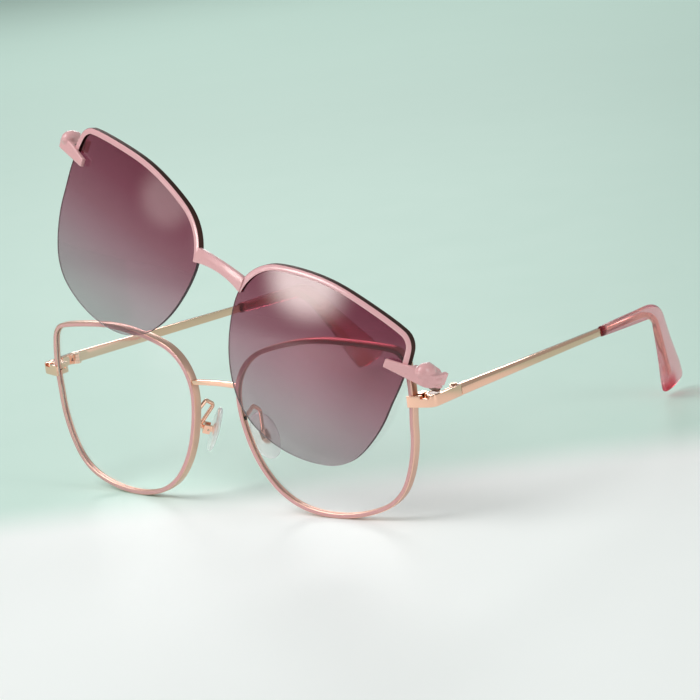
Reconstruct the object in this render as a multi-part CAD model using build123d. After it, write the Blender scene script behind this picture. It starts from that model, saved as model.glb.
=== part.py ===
from build123d import *
from math import cos, radians, sin, sqrt
import os

# A cat-eye optical frame with a magnetic half-rim sun clip raised on one claw.
# Sizes are in millimetres. The wearer's left is +X, the wearer looks along -Y.
# While it is built, zero is midway between the lens centres, on the rims' front.

# Lenses and rims
lens_spacing = 73.0
lens_half_width = 28.2
lens_half_height = 24.0
base_radius = 260.0
wrap_angle = 4.6
rim_face = 1.3
rim_depth = 2.5
rim_slit = 0.2
lens_thickness = 1.4
lens_set_back = 0.5
lens_bite = 0.45
fit_gap = 0.04
solder_gap = 0.02
overrun = 12.0
outline_shares = [
    (0.98, 0.03), (1.00, 0.38), (0.99, 0.67), (0.94, 0.86), (0.73, 0.95), (0.39, 0.99),
    (0.00, 1.00), (-0.46, 0.91), (-0.81, 0.73), (-0.98, 0.41), (-0.97, -0.01), (-0.83, -0.46),
    (-0.51, -0.86), (-0.08, -1.00), (0.37, -0.95), (0.74, -0.74), (0.92, -0.36),
]

# Frame bridge
bridge_height = 1.3
bridge_thickness = 1.4
bridge_rise = 0.4
bridge_level = 10.4
bridge_front = -0.3

# End pieces
strap_height = 3.0
strap_thickness = 1.2
strap_level = 8.8
strap_lap = 1.0
strap_front = 3.2
strap_corner_depth = 5.2
strap_corner_radius = 2.4
strap_overhang = 6.3
strap_end = 17.2

# Magnets and the cups that hold them
magnet_radius = 1.6
magnet_height = 1.5
magnet_inset = 2.5
magnet_set_back = 3.5
cup_wall = 0.5
cup_recess = 0.1
notch_width = 2.4
notch_depth = 0.8
notch_reach = 3.6

# Rim locks
lock_width = 2.0
lock_depth = 2.8
lock_round = 0.5
lock_overhang = 0.3
lock_screw_radius = 0.5
lock_head_radius = 0.8
lock_head_height = 0.5

# Temple hinges
knuckle_radius = 1.2
knuckle_height = 0.85
knuckle_gap = 0.06
knuckle_standoff = 0.06
hinge_pin_radius = 0.5
pin_clearance = 0.03
hinge_plate = 0.6
hinge_plate_length = 3.6
hinge_head_radius = 0.85
hinge_head_height = 0.3
leaf_length = 4.6
leaf_shoulder_share = 0.67
butt_gap = 0.15

# Temples
temple_thickness = 1.2
temple_height = 3.0
temple_end_height = 2.1
temple_ridge = 0.35
temple_length = 71.6
temple_inward = 2.85
temple_drop = 2.0
tip_straight = 25.5
tip_leg = 35.2
tip_leg_down = 57.0
tip_leg_in = 14.0
tip_height = 2.9
tip_thickness = 2.0
tip_end_width = 7.2
tip_end_thickness = 2.4
tip_bend_radius = 14.0
tip_section_shares = [
    (1.0, 0.45), (0.75, 0.82), (0.0, 1.0), (-0.75, 0.82), (-1.0, 0.45),
    (-1.0, -0.45), (-0.75, -0.82), (0.0, -1.0), (0.75, -0.82), (1.0, -0.45),
]
tip_width_shares = [
    0.0, 0.0, 0.01, 0.02, 0.05, 0.1, 0.18, 0.32, 0.49, 0.66, 0.83, 0.95, 1.0, 0.55,
]
core_thickness = 0.9
core_height = 1.4
core_bare_end = 7.0
core_gap = 0.05

# Nose pads
pad_across = 10.1
pad_back = 7.2
pad_level = -5.2
pad_upward = Vector(-0.42, 0.10, 0.90)
pad_noseward = Vector(-0.60, 0.72, -0.36)
pad_length = 13.4
pad_width = 7.6
pad_thickness = 1.8
pad_end_radius = 2.9
pad_edge = 0.6
insert_length = 4.8
insert_width = 3.0
insert_thickness = 0.5
insert_end_radius = 1.0
stem_width = 1.0
stem_height = 1.5
stem_reach = 1.9
stem_round_share = 0.45
pad_box_width = 2.6
pad_box_height = 2.5
pad_box_back = 0.5
pad_box_depth = 2.0
pad_play = 0.1
pad_screw_radius = 0.3
arm_radius = 0.47
arm_sides = 6
arm_root_inset = 1.0
arm_root_level = 0.6
arm_top_across = 9.1
arm_top_back = 5.4
arm_top_level = 3.6
arm_bend_radius = 1.2

# Sun clip
clip_half_width = 27.8
clip_half_height = 24.9
clip_shift = 1.3
clip_lens_gap = 1.0
clip_lens_thickness = 1.1
bar_outside = 0.4
bar_inside = 1.3
bar_proud = 0.5
bar_behind = 0.3
clip_lens_inset = 0.2
bar_start_angle = 29.0
bar_end_angle = 163.0
clip_bridge_front = -3.4
clip_bridge_thickness = 1.3
clip_bridge_level = 11.6
clip_bridge_height = 3.2
clip_bridge_root_height = 4.4
clip_bridge_rise = 0.9

# Claws
claw_tab_reach = 11.0
claw_tab_front = -1.0
claw_tab_height = 2.3
claw_strap_height = 3.6
claw_strap_thickness = 1.4
claw_overhang = 0.4
claw_corner_front = 2.3
claw_corner_radius = 3.0
claw_tail = 1.9
claw_lift = 2.1
lug_height = 5.0
lug_shoulder_height = 2.8
lug_outreach = 1.1
lug_inreach = 4.5
lug_front = 2.0
lug_round = 0.7
collar_wall = 0.4
collar_height = 0.9
magnet_touch = 0.1
rim_clear = 0.55

# How the clip stands in the photograph: raised about the foot of its left claw
raised_angle = 26.55
pivot_outside_magnet = 0.25
swing_direction = Vector(-0.26, 0.965, -0.03)

# Values that follow from the sizes above
half_spacing = lens_spacing / 2
strap_top = strap_level + strap_height / 2
strap_bottom = strap_level - strap_height / 2
strap_outside = half_spacing + lens_half_width + strap_overhang
strap_inside = strap_outside - strap_thickness
magnet_across = strap_outside - magnet_inset
magnet_depth = strap_corner_depth + magnet_set_back
lock_across = half_spacing + lens_half_width + lock_overhang
hinge_across = strap_inside - knuckle_radius - knuckle_standoff
hinge_height = 3 * knuckle_height + 2 * knuckle_gap
magnet_foot = strap_top + magnet_touch
claw_tab_across = magnet_across - claw_tab_reach
claw_corner_across = strap_outside + claw_overhang
claw_end = magnet_depth + claw_tail
claw_bottom = strap_top + claw_lift
lug_across = magnet_across + lug_outreach
lug_inside = magnet_across - lug_inreach
swing_point = Vector(magnet_across + magnet_radius + pivot_outside_magnet, magnet_depth, magnet_foot)


def only_solid(shape):
    """The one solid of a finished cut or join."""
    return shape.solids().sort_by(SortBy.VOLUME)[-1]


def side_place():
    """Where the left lens stands: out to its centre and wrapped back."""
    return Pos(half_spacing, 0, 0) * Rot(0, 0, wrap_angle)


def outline_knots(half_width, half_height, shift):
    """The lens shape as tangent arcs: where each arc starts and the way it starts."""
    corners = [Vector(across * half_width + shift, up * half_height) for across, up in outline_shares]
    curve = Spline(*corners, periodic=True)
    ways = [curve % curve.param_at_point(corner) for corner in corners]
    knots = []
    for index, (corner, way) in enumerate(zip(corners, ways)):
        following = (index + 1) % len(corners)
        span = corners[following] - corner
        lean = span.dot(way + ways[following])
        bend = 2 * (1 - way.dot(ways[following]))
        reach = (sqrt(lean**2 + bend * span.dot(span)) - lean) / bend
        near = corner + way * reach
        far = corners[following] - ways[following] * reach
        knots += [(corner, way), ((near + far) / 2, (far - near).normalized())]
    return knots


def outline_face(knots, grow):
    """The lens shape as a flat face, grown outwards by a distance."""
    points = [point + Vector(way.Y, -way.X) * grow for point, way in knots]
    arcs = [
        TangentArc(point, after, tangent=way)
        for point, after, (_, way) in zip(points, points[1:] + points[:1], knots)
    ]
    return make_face(arcs)


def shell_layer(face, front, back):
    """What lies between two depths behind the rim's front, inside the face's outline."""
    block = extrude(Plane.XZ * face, amount=overrun, both=True)
    centre = Pos(0, base_radius, 0)
    return block & centre * Sphere(base_radius - front) - centre * Sphere(base_radius - back)


def rim_shape(grow):
    return outline_face(rim_knots, grow)


def clip_shape(grow):
    return outline_face(clip_knots, grow)


def rim_envelope(gap):
    """The room that a rim and its lens take, for cutting what is soldered to them."""
    return side_place() * shell_layer(rim_shape(rim_face / 2 + gap), -gap, rim_depth + gap)


def rim():
    ring = shell_layer(rim_shape(rim_face / 2) - rim_shape(-rim_face / 2), 0, rim_depth)
    groove_face = rim_shape(lens_bite - rim_face / 2 + fit_gap)
    groove_back = lens_set_back + lens_thickness
    ring -= shell_layer(groove_face, lens_set_back - fit_gap, groove_back + fit_gap)
    slit = Pos(lens_half_width, 0, strap_level) * Box(overrun, 2 * overrun, rim_slit)
    return side_place() * only_solid(ring - slit)


def demo_lens():
    face = rim_shape(lens_bite - rim_face / 2)
    return side_place() * only_solid(shell_layer(face, lens_set_back, lens_set_back + lens_thickness))


def arched_bar(half_length, level, height, root_height, rise, front, thickness):
    """A bridge: flat front and back, arched along its length, deeper at its roots."""
    top = ThreePointArc(
        (-half_length, level - rise + root_height / 2),
        (0, level + height / 2),
        (half_length, level - rise + root_height / 2),
    )
    bottom = ThreePointArc(
        (half_length, level - rise - root_height / 2),
        (0, level - height / 2),
        (-half_length, level - rise - root_height / 2),
    )
    right_end = Line(top @ 1, bottom @ 0)
    left_end = Line(bottom @ 1, top @ 0)
    face = make_face([top, right_end, bottom, left_end])
    return extrude(Plane.XZ.offset(-front) * face, amount=-thickness)


def bridge():
    bar = arched_bar(
        half_spacing - lens_half_width + rim_face,
        bridge_level, bridge_height, bridge_height, bridge_rise, bridge_front, bridge_thickness,
    )
    room = rim_envelope(solder_gap)
    return only_solid(bar - room - mirror(room, about=Plane.YZ))


def bent_strap(points, thickness, radius):
    """Top view of a strap bent once: outer points, then the same path a thickness inside."""
    start, corner, end = points
    outer = FilletPolyline(start, corner, end, radius=radius)
    lead = Vector(corner[0] - start[0], corner[1] - start[1]).normalized()
    inward = Vector(-lead.Y, lead.X) * thickness
    inner_start = Vector(*start) + inward
    inner_end = Vector(end[0] - thickness, end[1])
    reach = (inner_end.X - inner_start.X) / lead.X
    inner_corner = inner_start + lead * reach
    inner = FilletPolyline(inner_end, inner_corner, inner_start, radius=radius - thickness)
    return make_face([outer, Line(outer @ 1, inner @ 0), inner, Line(inner @ 1, outer @ 0)])


def end_piece():
    start = (half_spacing + lens_half_width - strap_lap, strap_front)
    corner = (strap_outside, strap_corner_depth)
    top_view = bent_strap([start, corner, (strap_outside, strap_end)], strap_thickness, strap_corner_radius)
    strap = extrude(Pos(0, 0, strap_bottom) * top_view, amount=strap_height)
    cup_place = Pos(magnet_across, magnet_depth, strap_level)
    cup = cup_place * Cylinder(magnet_radius + fit_gap + cup_wall, strap_height)
    web_depth = magnet_depth - strap_corner_depth
    web_width = strap_inside - magnet_across + cup_wall
    web = Pos(magnet_across + web_width / 2, magnet_depth - web_depth / 2, strap_level)
    corner_fill = web * Box(web_width, web_depth, strap_height)
    tie_place = Pos(strap_inside, magnet_depth, strap_level)
    cup_tie = tie_place * Box(strap_thickness, magnet_radius, strap_height)
    piece = strap + cup + corner_fill + cup_tie
    pocket_height = magnet_height + cup_recess + fit_gap
    pocket = Pos(magnet_across, magnet_depth, strap_top - pocket_height / 2 + overrun / 2)
    piece -= pocket * Cylinder(magnet_radius + fit_gap, pocket_height + overrun)
    notch = Pos(magnet_across, strap_corner_depth - strap_thickness, strap_top)
    piece -= notch * Box(notch_width, notch_reach, 2 * notch_depth)
    return only_solid(piece - rim_envelope(solder_gap))


def frame_magnet():
    place = Pos(magnet_across, magnet_depth, strap_top - cup_recess - magnet_height / 2)
    return only_solid(place * Cylinder(magnet_radius, magnet_height))


def lock_back():
    """How far back the rim's back face lies at the lock."""
    sag = (lens_half_width**2 + strap_level**2) / (2 * base_radius)
    return lens_half_width * sin(radians(wrap_angle)) + sag + rim_depth


def rim_lock():
    """The upper and lower block behind the rim, and the screw hole through both."""
    middle = lock_back() + lock_depth / 2
    place = Pos(lock_across, middle, strap_level)
    block = place * Box(lock_width, lock_depth, strap_height)
    block = fillet(block.edges().filter_by(Axis.Z).sort_by(Axis.Y)[-2:], lock_round)
    block -= rim_envelope(solder_gap)
    block -= place * Box(overrun, overrun, rim_slit)
    block -= place * Cylinder(lock_screw_radius + fit_gap, 2 * strap_height)
    seat = Pos(lock_across, middle, strap_bottom)
    block -= seat * Cylinder(lock_head_radius + fit_gap, 2 * lock_head_height)
    return Compound(block.solids().sort_by(Axis.Z))


def rim_lock_screw():
    middle = lock_back() + lock_depth / 2
    shank_height = strap_height - lock_head_height / 2
    head_top = strap_bottom + lock_head_height - fit_gap
    shank = Pos(lock_across, middle, strap_top - shank_height / 2) * Cylinder(lock_screw_radius, shank_height)
    head = Pos(lock_across, middle, head_top - lock_head_height / 2)
    screw = shank + head * Cylinder(lock_head_radius, lock_head_height)
    slot = Pos(lock_across, middle, head_top - lock_head_height)
    return only_solid(screw - slot * Box(2 * lock_head_radius, lock_screw_radius / 2, lock_head_height / 2))


def knuckle_levels():
    pitch = knuckle_height + knuckle_gap
    return [strap_level - pitch, strap_level, strap_level + pitch]


def knuckle(level, toward):
    """One hinge barrel with the web that ties it to its plate."""
    barrel = Pos(hinge_across, strap_end, level) * Cylinder(knuckle_radius, knuckle_height)
    web_width = knuckle_radius + knuckle_standoff - pin_clearance
    web_length = knuckle_radius + hinge_plate
    web = Pos(hinge_across + web_width / 2, strap_end + toward * web_length / 2, level)
    return barrel + web * Box(web_width, web_length, knuckle_height)


def hinge_bore():
    return Pos(hinge_across, strap_end, strap_level) * Cylinder(hinge_pin_radius + pin_clearance, overrun)


def front_hinge():
    levels = knuckle_levels()
    plate_end = strap_end - knuckle_radius - knuckle_gap
    plate_across = strap_inside - solder_gap - hinge_plate / 2
    place = Pos(plate_across, plate_end - hinge_plate_length / 2, strap_level)
    hinge = place * Box(hinge_plate, hinge_plate_length, hinge_height)
    hinge += knuckle(levels[0], -1) + knuckle(levels[2], -1)
    hinge -= Pos(strap_inside, strap_end, strap_level) * Box(2 * solder_gap, overrun, overrun)
    return only_solid(hinge - hinge_bore())


def temple_hinge():
    leaf_front = strap_end + knuckle_radius + knuckle_gap
    shoulder = leaf_front + leaf_length * leaf_shoulder_share
    outline = Polyline(
        (leaf_front, -hinge_height / 2), (shoulder, -hinge_height / 2),
        (leaf_front + leaf_length, 0), (shoulder, hinge_height / 2),
        (leaf_front, hinge_height / 2), close=True,
    )
    inside = Plane((strap_inside - solder_gap, 0, strap_level), x_dir=(0, 1, 0), z_dir=(1, 0, 0))
    leaf = extrude(inside * make_face(outline), amount=-hinge_plate)
    leaf += knuckle(strap_level, 1)
    return only_solid(leaf - Pos(-solder_gap, 0, 0) * temple_blade() - hinge_bore())


def hinge_screw():
    pin = Pos(hinge_across, strap_end, strap_level) * Cylinder(hinge_pin_radius, hinge_height)
    head_level = strap_level + hinge_height / 2 + hinge_head_height / 2
    head = Pos(hinge_across, strap_end, head_level) * Cylinder(hinge_head_radius, hinge_head_height)
    slot = Pos(hinge_across, strap_end, head_level + hinge_head_height / 2)
    slot_cut = slot * Box(2 * hinge_head_radius, hinge_pin_radius / 2, hinge_head_height)
    return only_solid(pin + head - slot_cut)


def temple_direction():
    inward = radians(temple_inward)
    drop = radians(temple_drop)
    return Vector(-sin(inward) * cos(drop), cos(inward) * cos(drop), -sin(drop))


def temple_start():
    """The middle of the bar's front end, its flat inside flush with the end piece's."""
    return Vector(strap_inside + temple_thickness / 2, strap_end + butt_gap, strap_level)


def temple_end():
    return temple_start() + temple_direction() * temple_length


def temple_section(at, height, facing):
    """The bar's section: flat inside, a ridge along the upper third of the outside."""
    half = height / 2
    side = temple_thickness / 2
    points = [
        (-side, -half), (side - temple_ridge / 2, -half), (side, -half + temple_ridge),
        (side, half - 2 * temple_ridge), (side - temple_ridge, half), (-side, half),
    ]
    plane = Plane(at, x_dir=(1, 0, 0), z_dir=facing * -1)
    return plane * make_face(Polyline(*points, close=True))


def temple_blade():
    front = temple_section(temple_start(), temple_height, Vector(0, 1, 0))
    return loft([front, temple_section(temple_end(), temple_end_height, temple_direction())], ruled=True)


def tip_curve():
    """The middle line of the tip: straight behind the bar, then a bend into the leg."""
    start = temple_end()
    bend = start + temple_direction() * tip_straight
    down = radians(tip_leg_down)
    lean = radians(tip_leg_in)
    leg = Vector(-sin(lean), cos(lean) * cos(down), -cos(lean) * sin(down))
    return FilletPolyline(start, bend, bend + leg * tip_leg, radius=tip_bend_radius)


def tip_body():
    """Rounded sections at even steps along the tip, swelling towards the end of the leg."""
    curve = tip_curve()
    sections = []
    last = len(tip_width_shares) - 1
    for step, swell in enumerate(tip_width_shares):
        share = step / last
        along = curve % share
        width = tip_height + (tip_end_width - tip_height) * swell
        thickness = tip_thickness + (tip_end_thickness - tip_thickness) * share
        across = Vector(1, 0, 0)
        plane = Plane(curve @ share, x_dir=across - along * across.dot(along), z_dir=along)
        corners = [(a * thickness / 2, b * width / 2) for a, b in tip_section_shares]
        sections.append(plane * make_face(Polyline(*corners, close=True)))
    return loft(sections, ruled=True)


def core_wire(grow):
    curve = tip_curve()
    share = 1 - core_bare_end / curve.length
    path = curve.trim(0, share)
    along = path % 0
    across = Vector(1, 0, 0)
    plane = Plane(path @ 0, x_dir=across - along * across.dot(along), z_dir=along)
    return sweep(plane * Rectangle(core_thickness + 2 * grow, core_height + 2 * grow), path)


def temple_bar():
    return only_solid(temple_blade() + core_wire(0))


def temple_tip():
    return only_solid(tip_body() - core_wire(core_gap))


def pad_plane():
    """On the pad's outer face: X across the pad, Y up its length, Z towards the nose."""
    up = pad_upward.normalized()
    noseward = (pad_noseward - up * pad_noseward.dot(up)).normalized()
    return Plane((pad_across, pad_back, pad_level), x_dir=up.cross(noseward), z_dir=noseward)


def pad_hinge_height():
    """How far in front of the pad's outer face its screw runs."""
    return stem_reach - stem_height / 2


def oval(width, length, end_radius):
    """An upright oval of four arcs that run smoothly into each other."""
    across = width / 2
    up = length / 2
    rise = up - end_radius
    side_radius = (across**2 + rise**2 - end_radius**2) / (2 * (across - end_radius))
    side_middle = Vector(across - side_radius, 0)
    join = side_middle + (Vector(0, rise) - side_middle).normalized() * side_radius
    right = ThreePointArc((join.X, -join.Y), (across, 0), (join.X, join.Y))
    top = ThreePointArc((join.X, join.Y), (0, up), (-join.X, join.Y))
    left = ThreePointArc((-join.X, join.Y), (-across, 0), (-join.X, -join.Y))
    bottom = ThreePointArc((-join.X, -join.Y), (0, -up), (join.X, -join.Y))
    return make_face([right, top, left, bottom])


def pad_insert_shape(grow):
    plate = oval(insert_width + 2 * grow, insert_length + 2 * grow, insert_end_radius + grow)
    middle = (pad_thickness - insert_thickness) / 2 - grow
    shape = extrude(Pos(0, 0, middle) * plate, amount=insert_thickness + 2 * grow)
    stem_length = stem_reach + pad_thickness / 2
    stem = Pos(0, 0, pad_thickness / 2 - stem_length / 2) * Box(
        stem_width + 2 * grow, stem_height + 2 * grow, stem_length
    )
    stem = fillet(stem.edges().filter_by(Axis.X).sort_by(Axis.Z)[:2], stem_height * stem_round_share)
    return shape + stem


def pad_insert():
    shape = pad_insert_shape(0)
    bore = Pos(0, 0, -pad_hinge_height()) * Rot(0, 90, 0)
    shape -= bore * Cylinder(pad_screw_radius + pin_clearance, overrun)
    return pad_plane() * only_solid(shape)


def nose_pad():
    body = extrude(oval(pad_width, pad_length, pad_end_radius), amount=pad_thickness)
    body = chamfer(body.edges(), pad_edge)
    return pad_plane() * only_solid(body - pad_insert_shape(fit_gap / 2))


def pad_box():
    back = -stem_reach - pad_play - pad_box_back
    shell = Pos(0, 0, back + pad_box_depth / 2) * Box(pad_box_width, pad_box_height, pad_box_depth)
    slot_width = stem_width + 2 * pad_play
    slot_floor = back + pad_box_back
    shell -= Pos(0, 0, slot_floor + overrun / 2) * Box(slot_width, overrun, overrun)
    bore = Pos(0, 0, -pad_hinge_height()) * Rot(0, 90, 0)
    shell -= bore * Cylinder(pad_screw_radius + solder_gap, overrun)
    return pad_plane() * only_solid(shell)


def pad_screw():
    place = Pos(0, 0, -pad_hinge_height()) * Rot(0, 90, 0)
    return pad_plane() * only_solid(place * Cylinder(pad_screw_radius, pad_box_width))


def pad_arm():
    back = -stem_reach - pad_play - pad_box_back
    foot = (pad_plane() * Pos(0, 0, back - solder_gap)).position
    away = pad_plane().z_dir * -1
    elbow = foot + away * (2 * arm_bend_radius)
    root = Vector(half_spacing - lens_half_width + arm_root_inset, 0, arm_root_level)
    top = Vector(arm_top_across, arm_top_back, arm_top_level)
    path = FilletPolyline(root, top, elbow, foot, radius=arm_bend_radius)
    profile = Plane(path @ 0, z_dir=path % 0) * RegularPolygon(arm_radius, arm_sides)
    arm = sweep(profile, path)
    return only_solid(arm - rim_envelope(solder_gap))


def clip_bar_depths():
    lens_front = -clip_lens_gap - clip_lens_thickness
    return lens_front - bar_proud, -clip_lens_gap + bar_behind


def brow_bar():
    front, back = clip_bar_depths()
    ring = shell_layer(clip_shape(bar_outside) - clip_shape(-bar_inside), front, back)
    lens_front = -clip_lens_gap - clip_lens_thickness
    ring -= shell_layer(clip_shape(fit_gap - clip_lens_inset), lens_front - fit_gap, fit_gap - clip_lens_gap)
    far = 3 * clip_half_width
    middle = (bar_start_angle + bar_end_angle) / 2
    angles = [bar_start_angle, middle, bar_end_angle]
    rays = [(far * cos(radians(angle)), far * sin(radians(angle))) for angle in angles]
    sector = extrude(Plane.XZ * make_face(Polyline((0, 0), *rays, close=True)), amount=overrun, both=True)
    return side_place() * only_solid(ring & sector)


def clip_lens():
    lens_front = -clip_lens_gap - clip_lens_thickness
    return side_place() * only_solid(shell_layer(clip_shape(-clip_lens_inset), lens_front, -clip_lens_gap))


def clip_envelope(gap):
    front, back = clip_bar_depths()
    return side_place() * shell_layer(clip_shape(bar_outside + gap), front - gap, back + gap)


def clip_bridge():
    bar = arched_bar(
        half_spacing - clip_half_width - clip_shift + bar_inside,
        clip_bridge_level, clip_bridge_height, clip_bridge_root_height, clip_bridge_rise,
        clip_bridge_front, clip_bridge_thickness,
    )
    room = clip_envelope(solder_gap)
    return only_solid(bar - room - mirror(room, about=Plane.YZ))


def claw():
    start = (claw_tab_across, claw_tab_front)
    corner = (claw_corner_across, claw_corner_front)
    end = (claw_corner_across, claw_end)
    top_view = bent_strap([start, corner, end], claw_strap_thickness, claw_corner_radius)
    strap = extrude(Pos(0, 0, claw_bottom) * top_view, amount=claw_strap_height)
    lug_points = [
        (lug_inside, claw_bottom), (lug_across, claw_bottom),
        (lug_across, claw_bottom + lug_shoulder_height),
        (lug_across - claw_strap_thickness, claw_bottom + lug_shoulder_height + lug_round),
        (lug_inside + claw_strap_thickness, claw_bottom + lug_height),
        (lug_inside, claw_bottom + lug_height),
    ]
    lug_length = claw_end - lug_round - lug_front
    lug_outline = make_face(Polyline(*lug_points, close=True))
    lug = extrude(Plane.XZ.offset(-lug_front) * lug_outline, amount=-lug_length)
    lug = fillet(lug.edges().filter_by(Axis.Y).sort_by(Axis.Z)[-4:], lug_round)
    place = Pos(magnet_across, magnet_depth, claw_bottom - collar_height / 2)
    collar = place * Cylinder(magnet_radius + fit_gap + collar_wall, collar_height)
    piece = strap + lug + collar
    taper_drop = claw_strap_height - claw_tab_height
    taper = Polyline(
        (claw_tab_across - overrun, claw_bottom + claw_tab_height),
        (claw_tab_across, claw_bottom + claw_tab_height),
        (lug_inside, claw_bottom + claw_strap_height),
        (claw_tab_across - overrun, claw_bottom + claw_strap_height + overrun),
        close=True,
    )
    piece -= extrude(Plane.XZ * make_face(taper), amount=overrun, both=True)
    pocket_top = magnet_foot + magnet_height + taper_drop
    pocket = Pos(magnet_across, magnet_depth, (magnet_foot + pocket_top) / 2)
    piece -= pocket * Cylinder(magnet_radius + fit_gap, pocket_top - magnet_foot)
    piece -= clip_envelope(solder_gap)
    piece -= rim_envelope(rim_clear)
    return only_solid(piece)


def clip_magnet():
    top = magnet_foot + magnet_height + claw_strap_height - claw_tab_height - fit_gap
    place = Pos(magnet_across, magnet_depth, (magnet_foot + top) / 2)
    return only_solid(place * Cylinder(magnet_radius, top - magnet_foot))


def raised(shape):
    """The clip's pose in the photograph, turned up about the foot of its left claw."""
    return shape.rotate(Axis(swing_point, swing_direction), raised_angle)


rim_knots = outline_knots(lens_half_width, lens_half_height, 0)
clip_knots = outline_knots(clip_half_width, clip_half_height, -clip_shift)

side_pieces = {
    "rim": rim, "demo_lens": demo_lens, "end_piece": end_piece, "frame_magnet": frame_magnet,
    "rim_lock": rim_lock, "rim_lock_screw": rim_lock_screw, "front_hinge": front_hinge,
    "hinge_screw": hinge_screw, "temple_hinge": temple_hinge, "temple_bar": temple_bar,
    "temple_tip": temple_tip, "pad_arm": pad_arm, "pad_box": pad_box, "pad_screw": pad_screw,
    "pad_insert": pad_insert, "nose_pad": nose_pad,
}
clip_side_pieces = {
    "brow_bar": brow_bar, "clip_lens": clip_lens, "claw": claw, "clip_magnet": clip_magnet,
}


def all_pieces():
    pieces = {"bridge": bridge(), "clip_bridge": raised(clip_bridge())}
    for name, make in side_pieces.items():
        shape = make()
        pieces[name + "_left"] = shape
        pieces[name + "_right"] = mirror(shape, about=Plane.YZ)
    for name, make in clip_side_pieces.items():
        shape = make()
        pieces[name + "_left"] = raised(shape)
        pieces[name + "_right"] = raised(mirror(shape, about=Plane.YZ))
    return pieces


pieces = all_pieces()
whole = Compound(list(pieces.values())).bounding_box()
origin_shift = Vector(-(whole.min.X + whole.max.X) / 2, -(whole.min.Y + whole.max.Y) / 2, -whole.min.Z)

os.makedirs("parts", exist_ok=True)
for name, shape in pieces.items():
    export_step(Pos(*origin_shift) * shape, f"parts/{name}.step")
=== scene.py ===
from math import cos, pi, radians, sin, tan

import bmesh
import bpy
from mathutils import Matrix, Vector


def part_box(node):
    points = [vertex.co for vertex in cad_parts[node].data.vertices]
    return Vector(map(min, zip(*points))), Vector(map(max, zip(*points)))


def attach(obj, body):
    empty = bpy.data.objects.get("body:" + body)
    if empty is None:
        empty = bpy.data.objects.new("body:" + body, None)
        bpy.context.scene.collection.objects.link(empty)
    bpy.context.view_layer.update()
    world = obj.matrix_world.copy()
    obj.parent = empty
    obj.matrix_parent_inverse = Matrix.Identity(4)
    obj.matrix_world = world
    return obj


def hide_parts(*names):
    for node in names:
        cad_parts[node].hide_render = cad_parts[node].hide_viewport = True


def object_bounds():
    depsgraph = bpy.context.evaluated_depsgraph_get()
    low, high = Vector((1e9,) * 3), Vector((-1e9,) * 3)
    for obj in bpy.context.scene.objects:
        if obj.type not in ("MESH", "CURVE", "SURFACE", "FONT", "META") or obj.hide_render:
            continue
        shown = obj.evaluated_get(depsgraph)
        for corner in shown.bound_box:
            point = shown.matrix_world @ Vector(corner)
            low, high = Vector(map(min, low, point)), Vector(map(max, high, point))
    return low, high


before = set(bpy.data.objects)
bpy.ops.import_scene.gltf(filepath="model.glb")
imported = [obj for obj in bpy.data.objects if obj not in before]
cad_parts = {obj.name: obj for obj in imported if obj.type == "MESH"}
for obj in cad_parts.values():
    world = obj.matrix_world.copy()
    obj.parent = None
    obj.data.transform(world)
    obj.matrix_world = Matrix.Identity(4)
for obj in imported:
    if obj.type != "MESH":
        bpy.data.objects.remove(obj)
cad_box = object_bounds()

# Places and the sizes of the glasses are in millimetres, which MM turns into Blender's metres, and
# angles are in degrees. The floor and the lamps' sizes and distances are in metres.
MM = 0.001

# The optical frame's own zero: midway between the lens centres, on the rims' front
bridge_front = -0.3
bridge_top = 11.05
bridge_low, bridge_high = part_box("bridge")
frame_zero = Vector((
    (bridge_low.x + bridge_high.x) / 2,
    bridge_low.y - bridge_front * MM,
    bridge_high.z - bridge_top * MM,
))


def place(x, y, z):
    """A point given in millimetres from the optical frame's zero."""
    return frame_zero + Vector((x, y, z)) * MM


def mirrored(side, spot):
    """A direction given for the left half, kept for it (1) or mirrored to the right (-1)."""
    out, back, high = spot
    return Vector((side * out, back, high))


def on_side(side, spot):
    """A place given in millimetres for the left half, on the left (1) or the right (-1)."""
    return place(*mirrored(side, spot))


# The clip's pose: raised about the foot of its left claw
swing_point = place(70.35, 8.7, 10.4)
swing_axis = Vector((-0.26, 0.965, -0.03)).normalized()
raised_angle = 26.55
raised = Matrix.Rotation(radians(raised_angle), 3, swing_axis)
seated = raised.transposed()


def lifted(point):
    """A point of the seated clip, taken to its raised place."""
    return swing_point + raised @ (point - swing_point)


def lowered(point):
    """A point of the raised clip, taken back to its seated place."""
    return seated @ (point - swing_point) + swing_point


def add_object(name, data):
    thing = bpy.data.objects.new(name, data)
    bpy.context.scene.collection.objects.link(thing)
    return thing


def mesh_of(shape, name):
    """A mesh with the faces of a bmesh, which is freed."""
    mesh = bpy.data.meshes.new(name)
    shape.to_mesh(mesh)
    shape.free()
    return mesh


# Camera

view_point = (544.69, -575.59, 203.33)
view_right = Vector((0.7707, 0.6261, -0.1181))
view_up = Vector((-0.0578, 0.2533, 0.9657))
focal_length = 154.876
sensor_width = 36


def set_camera():
    """The photograph's view: a long lens, low and from the wearer's left."""
    back = view_right.cross(view_up).normalized()
    up = back.cross(view_right).normalized()
    data = bpy.data.cameras.new("photo_camera")
    data.lens = focal_length
    data.sensor_width = sensor_width
    data.clip_start = 0.05
    data.clip_end = 20
    camera = add_object("photo_camera", data)
    turn = Matrix((view_right, up, back)).transposed()
    camera.matrix_world = Matrix.Translation(place(*view_point)) @ turn.to_4x4()
    bpy.context.scene.camera = camera


# Materials

def new_material(name):
    material = bpy.data.materials.new(name)
    material.use_nodes = True
    nodes = material.node_tree.nodes
    return material, nodes, material.node_tree.links, nodes["Principled BSDF"]


def set_socket(links, socket, value):
    """Feeds a socket from another socket, or gives it a plain value."""
    if isinstance(value, bpy.types.NodeSocket):
        links.new(value, socket)
    else:
        socket.default_value = value


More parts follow.
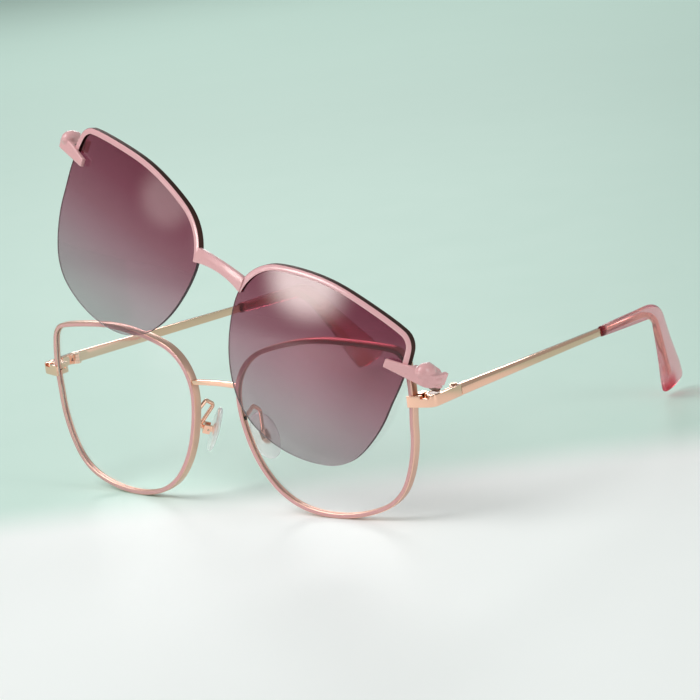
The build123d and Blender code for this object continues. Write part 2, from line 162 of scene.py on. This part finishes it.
def math_node(nodes, links, operation, *values, clamp=False):
    node = nodes.new("ShaderNodeMath")
    node.operation = operation
    node.use_clamp = clamp
    for socket, value in zip(node.inputs, values):
        set_socket(links, socket, value)
    return node.outputs[0]


def opposite(nodes, links, mask):
    """1 where a mask is 0, and 0 where it is 1."""
    return math_node(nodes, links, "SUBTRACT", 1.0, mask)


def along_axis(nodes, links, vector, axis, start, end, easing="SMOOTHSTEP"):
    """0 to 1 as a vector's share along an axis goes from start to end."""
    dot = nodes.new("ShaderNodeVectorMath")
    dot.operation = "DOT_PRODUCT"
    links.new(vector, dot.inputs[0])
    dot.inputs[1].default_value = axis
    span = nodes.new("ShaderNodeMapRange")
    span.interpolation_type = easing
    span.inputs["From Min"].default_value = start
    span.inputs["From Max"].default_value = end
    links.new(dot.outputs["Value"], span.inputs["Value"])
    return span.outputs["Result"]


def mix_colours(nodes, links, mask, low, high):
    mix = nodes.new("ShaderNodeMix")
    mix.data_type = "RGBA"
    for socket, value in ((mix.inputs[0], mask), (mix.inputs[6], low), (mix.inputs[7], high)):
        set_socket(links, socket, value)
    return mix.outputs[2]


def linear(red, green, blue):
    """A colour given as it looks on a screen, 0 to 255."""
    def undo(value):
        value /= 255
        return value / 12.92 if value <= 0.04045 else ((value + 0.055) / 1.055) ** 2.4
    return (undo(red), undo(green), undo(blue), 1)


def skin_group():
    """Fine unevenness of a plated or lacquered skin: a tone, a roughness and a height."""
    group = bpy.data.node_groups.new("skin_unevenness", "ShaderNodeTree")
    face = group.interface
    for name, value in (
        ("Grain Size", 900.0), ("Cloud Size", 60.0), ("Roughness", 0.2), ("Roughness Spread", 0.1),
        ("Tone Spread", 0.12),
    ):
        face.new_socket(name, in_out="INPUT", socket_type="NodeSocketFloat").default_value = value
    face.new_socket("Colour", in_out="INPUT", socket_type="NodeSocketColor")
    face.new_socket("Tone", in_out="OUTPUT", socket_type="NodeSocketColor")
    face.new_socket("Roughness", in_out="OUTPUT", socket_type="NodeSocketFloat")
    face.new_socket("Height", in_out="OUTPUT", socket_type="NodeSocketFloat")
    nodes, links = group.nodes, group.links
    entry = nodes.new("NodeGroupInput").outputs
    way_out = nodes.new("NodeGroupOutput").inputs
    where = nodes.new("ShaderNodeTexCoord").outputs["Object"]
    grain = nodes.new("ShaderNodeTexNoise")
    cloud = nodes.new("ShaderNodeTexNoise")
    for noise, size in ((grain, "Grain Size"), (cloud, "Cloud Size")):
        noise.inputs["Detail"].default_value = 3
        links.new(where, noise.inputs["Vector"])
        links.new(entry[size], noise.inputs["Scale"])
    cloudy = math_node(nodes, links, "SUBTRACT", cloud.outputs["Fac"], 0.5)
    shade = math_node(nodes, links, "MULTIPLY_ADD", cloudy, entry["Tone Spread"], 1.0)
    tone = nodes.new("ShaderNodeVectorMath")
    tone.operation = "SCALE"
    links.new(entry["Colour"], tone.inputs[0])
    links.new(shade, tone.inputs["Scale"])
    links.new(tone.outputs[0], way_out["Tone"])
    grainy = math_node(nodes, links, "SUBTRACT", grain.outputs["Fac"], 0.5)
    rough = math_node(
        nodes, links, "MULTIPLY_ADD", grainy, entry["Roughness Spread"], entry["Roughness"],
        clamp=True,
    )
    links.new(rough, way_out["Roughness"])
    links.new(grain.outputs["Fac"], way_out["Height"])
    return group


skin = skin_group()
skin_relief = 0.02


def add_skin(
    nodes, links, shader, colour, roughness,
    grain=900.0, cloud=60.0, bump=0.03, spread=0.1, tone=0.1,
):
    """Puts the skin's unevenness on a shader, over a plain colour or a colour socket."""
    node = nodes.new("ShaderNodeGroup")
    node.node_tree = skin
    for name, value in (
        ("Grain Size", grain), ("Cloud Size", cloud), ("Roughness", roughness),
        ("Roughness Spread", spread), ("Tone Spread", tone), ("Colour", colour),
    ):
        set_socket(links, node.inputs[name], value)
    links.new(node.outputs["Tone"], shader.inputs["Base Color"])
    links.new(node.outputs["Roughness"], shader.inputs["Roughness"])
    relief = nodes.new("ShaderNodeBump")
    relief.inputs["Strength"].default_value = bump
    relief.inputs["Distance"].default_value = skin_relief * MM
    links.new(node.outputs["Height"], relief.inputs["Height"])
    links.new(relief.outputs["Normal"], shader.inputs["Normal"])


def roughen(nodes, links, shader, mask, amount):
    """Adds to a skinned shader's roughness where a mask is 1."""
    fine = shader.inputs["Roughness"].links[0].from_socket
    rough = math_node(nodes, links, "MULTIPLY_ADD", mask, amount, fine, clamp=True)
    links.new(rough, shader.inputs["Roughness"])


def metal(name, colour, roughness, **skin_values):
    material, nodes, links, shader = new_material(name)
    shader.inputs["Metallic"].default_value = 1
    add_skin(nodes, links, shader, colour, roughness, **skin_values)
    return material


lacquer_skin = {"grain": 2600.0, "bump": 0.012, "spread": 0.05}
enamel_coat = 0.4


def enamelled(name, facing, lacquer, plating_and_painted_reflection, dullness, start, end):
    """Lacquer on the faces turned one way, and bare, duller metal on the rest: plating on the rims,
    and on the clip's bar a dark brown that is a painted reflection.
    """
    material, nodes, links, shader = new_material(name)
    turned = nodes.new("ShaderNodeTexCoord").outputs["Normal"]
    lacquered_face = along_axis(nodes, links, turned, facing, start, end)
    bare = opposite(nodes, links, lacquered_face)
    colour = mix_colours(nodes, links, lacquered_face, plating_and_painted_reflection, lacquer)
    add_skin(nodes, links, shader, colour, roughness=0.17, tone=0.06, **lacquer_skin)
    roughen(nodes, links, shader, bare, dullness)
    links.new(bare, shader.inputs["Metallic"])
    coat = math_node(nodes, links, "MULTIPLY", lacquered_face, enamel_coat)
    links.new(coat, shader.inputs["Coat Weight"])
    shader.inputs["Coat Roughness"].default_value = 0.12
    return material


def lacquered(name, colour):
    material, nodes, links, shader = new_material(name)
    add_skin(nodes, links, shader, colour, roughness=0.28, tone=0.05, **lacquer_skin)
    shader.inputs["Coat Weight"].default_value = 0.5
    shader.inputs["Coat Roughness"].default_value = 0.1
    return material


def let_light_through(nodes, links, shader, share):
    """Clear pieces cast a pale shadow: light rays pass by the given share."""
    path = nodes.new("ShaderNodeLightPath")
    blocked = math_node(nodes, links, "MULTIPLY", path.outputs["Is Shadow Ray"], share)
    links.new(opposite(nodes, links, blocked), shader.inputs["Alpha"])


def clear_plastic(name, colour, roughness, share, clearness, index, smudge):
    material, nodes, links, shader = new_material(name)
    shader.inputs["Transmission Weight"].default_value = clearness
    shader.inputs["IOR"].default_value = index
    add_skin(
        nodes, links, shader, colour, roughness,
        grain=300.0, cloud=40.0, bump=smudge, spread=0.02, tone=0.02,
    )
    let_light_through(nodes, links, shader, share)
    return material


# The sun lens's colours from its lower edge, 0, to the brow, 1
lens_tints = (
    (0.0, linear(192, 176, 182)), (0.2, linear(192, 160, 171)), (0.4, linear(184, 131, 147)),
    (0.55, linear(170, 103, 121)), (0.75, linear(151, 71, 93)), (1.0, linear(130, 44, 68)),
)
tint_half_height = 25
# Painted shade: the lens's edge faces are coloured dark, where the edge shows as a dark line; the
# real ground edge only makes them rougher
painted_edge_shade = linear(58, 40, 46)
polished_from = 0.35
polished_to = 0.6


def sun_tint(name, middle, up, facing):
    """A lens that fades from burgundy at the brow to a pale mauve grey, with a ground, rougher edge
    painted dark as shade.
    """
    material, nodes, links, shader = new_material(name)
    shader.inputs["Transmission Weight"].default_value = 1
    shader.inputs["IOR"].default_value = 1.5
    texture = nodes.new("ShaderNodeTexCoord").outputs
    level = up.dot(middle)
    reach = tint_half_height * MM
    height = along_axis(nodes, links, texture["Object"], up, level - reach, level + reach, "LINEAR")
    ramp = nodes.new("ShaderNodeValToRGB")
    links.new(height, ramp.inputs["Fac"])
    steps = ramp.color_ramp.elements
    steps[0].position, steps[0].color = lens_tints[0]
    steps[1].position, steps[1].color = lens_tints[-1]
    for position, tint in lens_tints[1:-1]:
        steps.new(position).color = tint
    outer, inner = (
        along_axis(nodes, links, texture["Normal"], way, polished_from, polished_to)
        for way in (facing, -facing)
    )
    polished = math_node(nodes, links, "ADD", outer, inner, clamp=True)
    # The edge faces take the painted shade colour
    colour = mix_colours(nodes, links, polished, painted_edge_shade, ramp.outputs["Color"])
    add_skin(
        nodes, links, shader, colour, roughness=0.025,
        grain=200.0, cloud=30.0, bump=0.004, spread=0.01, tone=0.03,
    )
    roughen(nodes, links, shader, opposite(nodes, links, polished), amount=0.6)
    let_light_through(nodes, links, shader, share=0.35)
    return material


# How far into the tip its dark collar starts to fade and ends, how far before its end the ear
# end's red starts and is full, and how far across from its middle the red side starts and is full
collar_fade = (1.2, 1.8)
ear_red = (9, 4)
red_side = (-1.5, 0.8)


def tinted_tip(name, start, along, tip_end, down, across):
    """Clear rose plastic, dark red where the bar goes in and redder on one side of the ear end."""
    material, nodes, links, shader = new_material(name)
    shader.inputs["Transmission Weight"].default_value = 0.78
    shader.inputs["IOR"].default_value = 1.3
    where = nodes.new("ShaderNodeTexCoord").outputs["Object"]
    entry, low, edge = along.dot(start), down.dot(tip_end), across.dot(tip_end)
    past_collar, ear, one_side = (
        along_axis(nodes, links, where, axis, zero + first * MM, zero + last * MM)
        for axis, zero, first, last in (
            (along, entry, collar_fade[0], collar_fade[1]),
            (down, low, -ear_red[0], -ear_red[1]),
            (across, edge, red_side[0], red_side[1]),
        )
    )
    red = math_node(nodes, links, "MULTIPLY", ear, one_side)
    body = mix_colours(nodes, links, red, linear(250, 192, 200), linear(232, 70, 92))
    colour = mix_colours(nodes, links, past_collar, linear(168, 66, 84), body)
    add_skin(
        nodes, links, shader, colour, roughness=0.05,
        grain=260.0, cloud=45.0, bump=0.02, spread=0.03, tone=0.06,
    )
    let_light_through(nodes, links, shader, share=0.5)
    return material


front = Vector((0, -1, 0))
clip_front = raised @ front
rose_gold = linear(240, 194, 174)
gold = linear(254, 204, 179)
rim_enamel = enamelled(
    "rim_enamel", front, linear(222, 162, 161), rose_gold, dullness=0.12, start=0.93, end=0.99,
)
# The bar's bare sides get a dark brown that is a painted dark reflection in the plating
bar_enamel = enamelled(
    "bar_enamel", clip_front, linear(231, 174, 178), linear(80, 54, 50),
    dullness=0.4, start=0.8, end=0.92,
)
claw_lacquer = lacquered("claw_lacquer", linear(230, 172, 174))
gold_plate = metal("gold_plate", gold, roughness=0.13, spread=0.05, bump=0.012)
screw_steel = metal("screw_steel", linear(196, 170, 148), roughness=0.26)
# The magnets' dark warm grey is partly their metal's colour and partly painted shade, darkening the
# end pieces' pockets where they sit
magnet_metal_and_shade = metal("magnet_metal_and_shade", linear(132, 112, 104), roughness=0.3, grain=1500.0)
demo_clear = clear_plastic(
    "demo_clear", (0.985, 0.99, 0.99, 1), roughness=0.02, share=0.94,
    clearness=1, index=1.5, smudge=0.004,
)
pad_silicone = clear_plastic(
    "pad_silicone", (0.97, 0.97, 0.98, 1), roughness=0.16, share=0.6,
    clearness=0.72, index=1.43, smudge=0.02,
)


# Shapes

def finished(name, mesh, material, body, node):
    """Links a mesh as a piece of the object that rides on a body and stands for a CAD node."""
    piece = add_object(name, mesh)
    mesh.materials.clear()
    mesh.materials.append(material)
    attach(piece, body)
    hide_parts(node)


def smooth(mesh, angle):
    """Soft shading, but for edges that turn by more than an angle."""
    mesh.shade_smooth()
    mesh.set_sharp_from_angle(angle=radians(angle))


# Facets that meet within the flat angle are merged, and edges past the hard angle are eased
flat_angle = 0.6
hard_angle = 32


def eased(node, radius, material, body, name):
    """The CAD piece with its hard edges eased by a small radius."""
    shape = bmesh.new()
    shape.from_mesh(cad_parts[node].data)
    bmesh.ops.remove_doubles(shape, verts=shape.verts, dist=1e-7)
    bmesh.ops.dissolve_limit(
        shape, angle_limit=radians(flat_angle), verts=shape.verts, edges=shape.edges,
        use_dissolve_boundaries=False,
    )
    hard = [
        edge for edge in shape.edges
        if edge.is_manifold and edge.calc_face_angle(0) > radians(hard_angle)
    ]
    bmesh.ops.bevel(
        shape, geom=hard, offset=radius * MM, offset_type="OFFSET", segments=3, profile=0.5,
        affect="EDGES", clamp_overlap=True,
    )
    mesh = mesh_of(shape, name)
    smooth(mesh, 35)
    finished(name, mesh, material, body, node)


def rounded_path(points, radius, step):
    """Points along straight runs joined by arcs of one radius, about one step apart."""
    path = [points[0]]
    for before, corner, after in zip(points, points[1:], points[2:]):
        back_way = (before - corner).normalized()
        on_way = (after - corner).normalized()
        half = back_way.angle(on_way) / 2
        setback = radius / tan(half)
        bisector = (back_way + on_way).normalized()
        centre = corner + bisector * (radius / sin(half))
        first = corner + back_way * setback - centre
        turn = pi - 2 * half
        axis = first.cross(corner + on_way * setback - centre).normalized()
        count = max(4, int(turn * radius / step) + 1)
        for index in range(count + 1):
            path.append(centre + Matrix.Rotation(turn * index / count, 3, axis) @ first)
    path.append(points[-1])
    return even(path, step)


def even(path, step):
    """The same path with its points spread evenly."""
    lengths = [0.0]
    for a, b in zip(path, path[1:]):
        lengths.append(lengths[-1] + (b - a).length)
    count = max(2, round(lengths[-1] / step))
    spread = []
    run = 0
    for index in range(count + 1):
        target = lengths[-1] * index / count
        while run < len(path) - 2 and lengths[run + 1] < target:
            run += 1
        span = lengths[run + 1] - lengths[run]
        share = (target - lengths[run]) / span if span else 0.0
        spread.append(path[run].lerp(path[run + 1], min(1.0, share)))
    return spread


# The higher this power, the nearer to the end a tilted bar starts to lean
tilt_power = 6


def swept(name, path, across, half_sizes, sides, squareness=2.0, end_tilt=0.0):
    """A closed bar along a path: a rounded section of (half width, half height) at each point.

    With an end tilt, the sections lean more and more along the bar's height to a slanted end.
    """
    shape = bmesh.new()
    rings = []
    last = len(path) - 1
    power = 2 / squareness
    for index, point in enumerate(path):
        along = (path[min(index + 1, last)] - path[max(index - 1, 0)]).normalized()
        side = (across - along * across.dot(along)).normalized()
        up = along.cross(side)
        wide, high = half_sizes(index / last)
        ring = []
        for step in range(sides):
            angle = 2 * pi * step / sides
            c, s = cos(angle), sin(angle)
            x = wide * abs(c) ** power * (1 if c >= 0 else -1)
            y = high * abs(s) ** power * (1 if s >= 0 else -1)
            lean = along * (y * end_tilt * (index / last) ** tilt_power)
            ring.append(shape.verts.new(point + side * x + up * y + lean))
        rings.append(ring)
    for a, b in zip(rings, rings[1:]):
        for step in range(sides):
            following = (step + 1) % sides
            shape.faces.new((a[step], a[following], b[following], b[step]))
    shape.faces.new(list(reversed(rings[0])))
    shape.faces.new(rings[-1])
    bmesh.ops.recalc_face_normals(shape, faces=shape.faces)
    mesh = mesh_of(shape, name)
    smooth(mesh, 60)
    return mesh


# Temple tips

# The left bar's front end, by the hinge, from which it runs back, a little inward and down, bare
# as far as the tip
bar_front = (70.4, 17.35, 8.8)
bare_length = 69.0
bar_inward = 2.85
bar_drop = 2.0

# The tip goes on straight, then bends down and inward behind the ear
tip_straight = 30.0
tip_leg = 34.4
leg_down = 57
leg_inward = 14.7
ear_bend = 10
tip_step = 0.45
slanted_end = -0.4

# The tip's width at even steps from the mouth, where the bar goes in, to the ear end
tip_widths = (2.9, 3.3, 3.6, 3.8, 4.1, 5.1, 6.1, 7.2, 8.9, 10.8, 11.2)
mouth_thickness = 2.1
added_thickness = 0.4

# Past the closing share of its length the tip rounds off to a small end face, and over the mouth
# share it is stepped in to the mouth size
closing_share = 0.96
closing_power = 4
end_face = 0.03
mouth_share = 0.006
mouth_size = 0.86


def tip_sizes(share):
    """Half thickness and half width of the tip, closing over its last few millimetres."""
    spot = share * (len(tip_widths) - 1)
    low = min(int(spot), len(tip_widths) - 2)
    width = tip_widths[low] + (tip_widths[low + 1] - tip_widths[low]) * (spot - low)
    thickness = mouth_thickness + added_thickness * share
    close = 1.0
    if share > closing_share:
        past = (share - closing_share) / (1 - closing_share)
        close = max(end_face, 1 - past ** closing_power) ** 0.5
    if share < mouth_share:
        close = mouth_size
    return thickness / 2 * MM * close, width / 2 * MM * close


def temple_way(side):
    """Where one temple's tip starts, the way it runs, its middle line and its leg's way."""
    inward, drop = radians(bar_inward), radians(bar_drop)
    along = Vector((-side * sin(inward) * cos(drop), cos(inward) * cos(drop), -sin(drop)))
    start = on_side(side, bar_front) + along * bare_length * MM
    down, lean = radians(leg_down), radians(leg_inward)
    leg = Vector((-side * sin(lean), cos(lean) * cos(down), -cos(lean) * sin(down)))
    bend = start + along * tip_straight * MM
    return start, along, [start, bend, bend + leg * tip_leg * MM], leg


def add_tip(side, label):
    """The translucent tip over the bar's end, broad and slanted behind the ear."""
    name = "tip_sleeve_" + label
    start, along, points, leg = temple_way(side)
    path = rounded_path(points, ear_bend * MM, tip_step * MM)
    outward = Vector((1, 0, 0))
    mesh = swept(name, path, outward, tip_sizes, 32, squareness=2.6, end_tilt=slanted_end)
    blade = leg.cross(outward).normalized()
    material = tinted_tip("rose_tip_" + label, start, along, points[-1], leg, blade)
    finished(name, mesh, material, "temple_" + label, "temple_tip_" + label)


# Nose pads and their arms

# All for the left half: where the pad's back lies, the way it stands and the way it faces
pad_place = (10.1, 7.2, -5.2)
pad_stance = (-0.42, 0.10, 0.90)
pad_facing = (-0.60, 0.72, -0.36)
pad_half_width = 3.8
pad_half_height = 6.7
pad_half_depth = 0.9
oval_fullness = 0.55
face_fullness = 0.7

# The pad wire's corners on the left half, from the rim over its crest. Its foot lies behind the
# pad's back, and its elbow behind and a little above the foot.
wire_corners = ((9.3, 0.9, 1.1), (9.1, 5.4, 3.6), (8.9, 8.0, 1.7))
wire_foot_depth = 2.45
wire_elbow_depth = 1.1
wire_elbow_rise = 0.4
wire_radius = 0.55
wire_bend = 0.9
wire_step = 0.15


def pad_directions(side):
    """The middle of a pad's back, the way it stands and the way it faces the nose."""
    up = mirrored(side, pad_stance).normalized()
    nose = mirrored(side, pad_facing)
    nose = (nose - up * nose.dot(up)).normalized()
    return on_side(side, pad_place), up, nose


def add_pad(side, label):
    """A soft pad: an oval cushion, rounded all round."""
    name = "soft_pad_" + label
    centre, up, nose = pad_directions(side)
    across = up.cross(nose)
    shape = bmesh.new()
    bmesh.ops.create_uvsphere(shape, u_segments=48, v_segments=32, radius=1.0)
    for vert in shape.verts:
        x, y, z = vert.co
        rim = (x * x + y * y) ** 0.5
        full = min(1.0, rim) ** oval_fullness / max(rim, 1e-6) if rim else 0.0
        depth = (abs(z) ** face_fullness) * (1 if z >= 0 else -1)
        point = centre + across * (x * full * pad_half_width * MM)
        point += up * (y * full * pad_half_height * MM)
        vert.co = point + nose * ((1 + depth) * pad_half_depth * MM)
    bmesh.ops.recalc_face_normals(shape, faces=shape.faces)
    mesh = mesh_of(shape, name)
    mesh.shade_smooth()
    finished(name, mesh, pad_silicone, "nose_pad_" + label, "nose_pad_" + label)


def wire_sizes(share):
    """Half width and half height of the pad wire, the same all along."""
    return wire_radius * MM, wire_radius * MM


def add_arm(side, label):
    """The gold wire from the rim to the pad's box."""
    name = "pad_wire_" + label
    centre, up, nose = pad_directions(side)
    foot = centre - nose * wire_foot_depth * MM
    elbow = foot - nose * wire_elbow_depth * MM + up * wire_elbow_rise * MM
    corners = [on_side(side, corner) for corner in wire_corners]
    path = rounded_path([*corners, elbow, foot], wire_bend * MM, wire_step * MM)
    mesh = swept(name, path, Vector((0.3, 0.2, 0.93)), wire_sizes, 20)
    finished(name, mesh, gold_plate, "front", "pad_arm_" + label)


# Claws

# All for the left claw of the seated clip. The lug is levelled with the strap's top. Above their
# underside, the outer bend and the tail are drawn in to a share of their reach past a place.
claw_top = 16.0
claw_underside = 12.3
bend_from = 66.0
bend_share = 0.85
tail_from = 8.0
tail_share = 0.65

# The low rounded boss, and the cheek that fills the inner corner: middle and half sizes of each
cheeks = (
    ((67.4, 3.8, 15.8), (2.3, 3.2, 2.3)),
    ((68.2, 5.8, 14.2), (3.1, 4.0, 1.9)),
)
casting_grain = 0.16


def cast_smooth(name, mesh):
    """Runs the overlapping parts of a casting into one skin with soft edges."""
    cast = add_object(name + "_rough", mesh)
    blend = cast.modifiers.new("blend", "REMESH")
    blend.mode = "VOXEL"
    blend.voxel_size = casting_grain * MM
    soften = cast.modifiers.new("soften", "SMOOTH")
    soften.factor = 0.6
    soften.iterations = 9
    bpy.context.view_layer.update()
    graph = bpy.context.evaluated_depsgraph_get()
    skinned = bpy.data.meshes.new_from_object(cast.evaluated_get(graph))
    skinned.name = name
    bpy.data.objects.remove(cast)
    skinned.shade_smooth()
    return skinned


def add_claw(side, label):
    """The cast claw: strap and lug, with a low rounded boss and a cheek in the inner corner."""
    name = "magnet_claw_" + label
    shape = bmesh.new()
    shape.from_mesh(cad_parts["claw_" + label].data)
    for vert in shape.verts:
        spot = (lowered(vert.co) - frame_zero) / MM
        out, back, high = side * spot.x, spot.y, min(spot.z, claw_top)
        if high > claw_underside:
            out = min(out, bend_from + (out - bend_from) * bend_share)
            back = min(back, tail_from + (back - tail_from) * tail_share)
        vert.co = lifted(on_side(side, (out, back, high)))
    for middle, half_sizes in cheeks:
        spread = Matrix.LocRotScale(
            lifted(on_side(side, middle)), raised.to_quaternion(), Vector(half_sizes) * MM,
        )
        bmesh.ops.create_uvsphere(shape, u_segments=40, v_segments=24, radius=1.0, matrix=spread)
    mesh = cast_smooth(name, mesh_of(shape, name + "_rough"))
    finished(name, mesh, claw_lacquer, "clip", "claw_" + label)


# Hardware

def dress(node, material):
    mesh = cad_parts[node].data
    mesh.materials.clear()
    mesh.materials.append(material)


def add_hardware():
    """Rims, bars and straps with eased edges, and the small pieces in their own metals."""
    for label in ("left", "right"):
        for node, radius, material, body, slot_name, name in (
            ("rim_", 0.3, rim_enamel, "front", "pink_lacquer", "rim_wire_"),
            ("end_piece_", 0.4, gold_plate, "front", "gold_plate", "end_strap_"),
            ("brow_bar_", 0.35, bar_enamel, "clip", "clip_lacquer", "brow_wire_"),
            ("temple_bar_", 0.22, gold_plate, "temple_" + label, "gold_plate", "temple_blade_"),
        ):
            eased(node + label, radius, material, body, name + label)
        for nodes, material in (
            (("front_hinge_", "temple_hinge_", "pad_box_", "pad_insert_", "rim_lock_"), gold_plate),
            (("hinge_screw_", "rim_lock_screw_", "pad_screw_"), screw_steel),
            (("frame_magnet_", "clip_magnet_"), magnet_metal_and_shade),
            (("demo_lens_",), demo_clear),
        ):
            for node in nodes:
                dress(node + label, material)
    eased("bridge", 0.45, gold_plate, "front", "bridge_wire")
    eased("clip_bridge", 0.4, claw_lacquer, "clip", "clip_bridge_bar")


def add_sun_lenses():
    """The clip's lenses, each tinted by its own height."""
    up = raised @ Vector((0, 0, 1))
    for label in ("left", "right"):
        low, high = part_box("clip_lens_" + label)
        tint = sun_tint("sun_tint_" + label, (low + high) / 2, up, clip_front)
        dress("clip_lens_" + label, tint)


# Stage

floor_gap = 0.00005
fade_way = (-0.652, 0.758, 0)
fade_start = -0.058
fade_end = -0.018


def add_floor():
    """A pale floor that turns from white under the rims to a pale mint behind them."""
    shape = bmesh.new()
    bmesh.ops.create_grid(shape, x_segments=1, y_segments=1, size=6)
    mesh = mesh_of(shape, "floor")
    floor = add_object("floor", mesh)
    floor.location = (0, 0, cad_box[0][2] - floor_gap)
    material, nodes, links, shader = new_material("pale_floor")
    where = nodes.new("ShaderNodeTexCoord").outputs["Object"]
    away = along_axis(nodes, links, where, fade_way, fade_start, fade_end)
    colour = mix_colours(nodes, links, away, linear(247, 248, 247), linear(202, 228, 217))
    add_skin(nodes, links, shader, colour, roughness=0.55, grain=40.0, cloud=3.0, bump=0.0)
    mesh.materials.append(material)


# Each lamp stands in a direction from the glasses: its width and height, and its power
lamps = (
    ("key_lamp", (-0.5, -0.6, 1.0), (0.9, 0.9), 11),
    ("rear_lamp", (-0.6345, 0.7375, 0.33), (0.5, 0.14), 1.6),
    ("side_lamp", (0.95, 0.1, 0.35), (0.5, 0.8), 3.5),
)
lamp_distance = 1.3
lamp_target = place(0, 30, 10)

# Each panel stands off the place in a sun lens that mirrors it: its direction from there, its
# width and height, and its strength
glows = (
    ("lens_glow", (36.7, 1.1, 38.4), (-0.505, -0.86, 0.078), (0.46, 0.34), 15),
    ("brow_glow", (-11.2, 2.8, 60.2), (-0.663, -0.739, 0.118), (0.36, 0.24), 3),
)
glow_distance = 1.1
glow_colour = (1.0, 0.93, 0.88, 1)
black = (0, 0, 0, 1)

# Where a panel's light starts to fade and where it ends, from its middle, in shares of its size
glow_core = 0.08
glow_edge = 0.5

# The even light all round
room_colour = linear(226, 236, 232)
room_strength = 0.46


def stand_off(thing, target, toward, distance):
    """Moves a lamp or panel in a direction from its target and turns it to face the target."""
    thing.location = target + Vector(toward).normalized() * distance
    thing.rotation_euler = (target - thing.location).to_track_quat("-Z", "Y").to_euler()


def add_lamp(name, toward, size, power):
    """A soft lamp that stands in the given direction from the object."""
    data = bpy.data.lights.new(name, "AREA")
    data.shape = "RECTANGLE"
    data.size, data.size_y = size
    data.energy = power
    lamp = add_object(name, data)
    stand_off(lamp, lamp_target, toward, lamp_distance)
    lamp.visible_camera = False


def add_glow(name, mirror_place, toward, size, strength):
    """A panel whose light fades to its edges, seen as a soft patch in the sun lens."""
    shape = bmesh.new()
    bmesh.ops.create_grid(shape, x_segments=1, y_segments=1, size=0.5)
    mesh = mesh_of(shape, name)
    panel = add_object(name, mesh)
    stand_off(panel, place(*mirror_place), toward, glow_distance)
    panel.scale = (size[0], size[1], 1)
    material, nodes, links, shader = new_material(name + "_light")
    where = nodes.new("ShaderNodeTexCoord").outputs["Object"]
    length = nodes.new("ShaderNodeVectorMath")
    length.operation = "LENGTH"
    links.new(where, length.inputs[0])
    fade = nodes.new("ShaderNodeMapRange")
    fade.interpolation_type = "SMOOTHERSTEP"
    for socket, value in (
        ("From Min", glow_core), ("From Max", glow_edge), ("To Min", 1), ("To Max", 0),
    ):
        fade.inputs[socket].default_value = value
    links.new(length.outputs["Value"], fade.inputs["Value"])
    shader.inputs["Base Color"].default_value = black
    shader.inputs["Roughness"].default_value = 1
    shader.inputs["Specular IOR Level"].default_value = 0
    shader.inputs["Emission Strength"].default_value = strength
    shade = mix_colours(nodes, links, fade.outputs["Result"], black, glow_colour)
    links.new(shade, shader.inputs["Emission Color"])
    links.new(fade.outputs["Result"], shader.inputs["Alpha"])
    mesh.materials.append(material)
    panel.visible_camera = False
    panel.visible_diffuse = False
    panel.visible_transmission = False
    panel.visible_shadow = False


def add_light():
    """A dim even room, the lamps, and the panels that the sun lenses mirror."""
    scene = bpy.context.scene
    scene.view_settings.view_transform = "Standard"
    world = bpy.data.worlds.new("studio")
    scene.world = world
    world.use_nodes = True
    background = world.node_tree.nodes["Background"]
    background.inputs["Color"].default_value = room_colour
    background.inputs["Strength"].default_value = room_strength
    for lamp in lamps:
        add_lamp(*lamp)
    for glow in glows:
        add_glow(*glow)


set_camera()
add_hardware()
add_sun_lenses()
for side, label in ((1, "left"), (-1, "right")):
    add_tip(side, label)
    add_pad(side, label)
    add_arm(side, label)
    add_claw(side, label)
add_floor()
add_light()
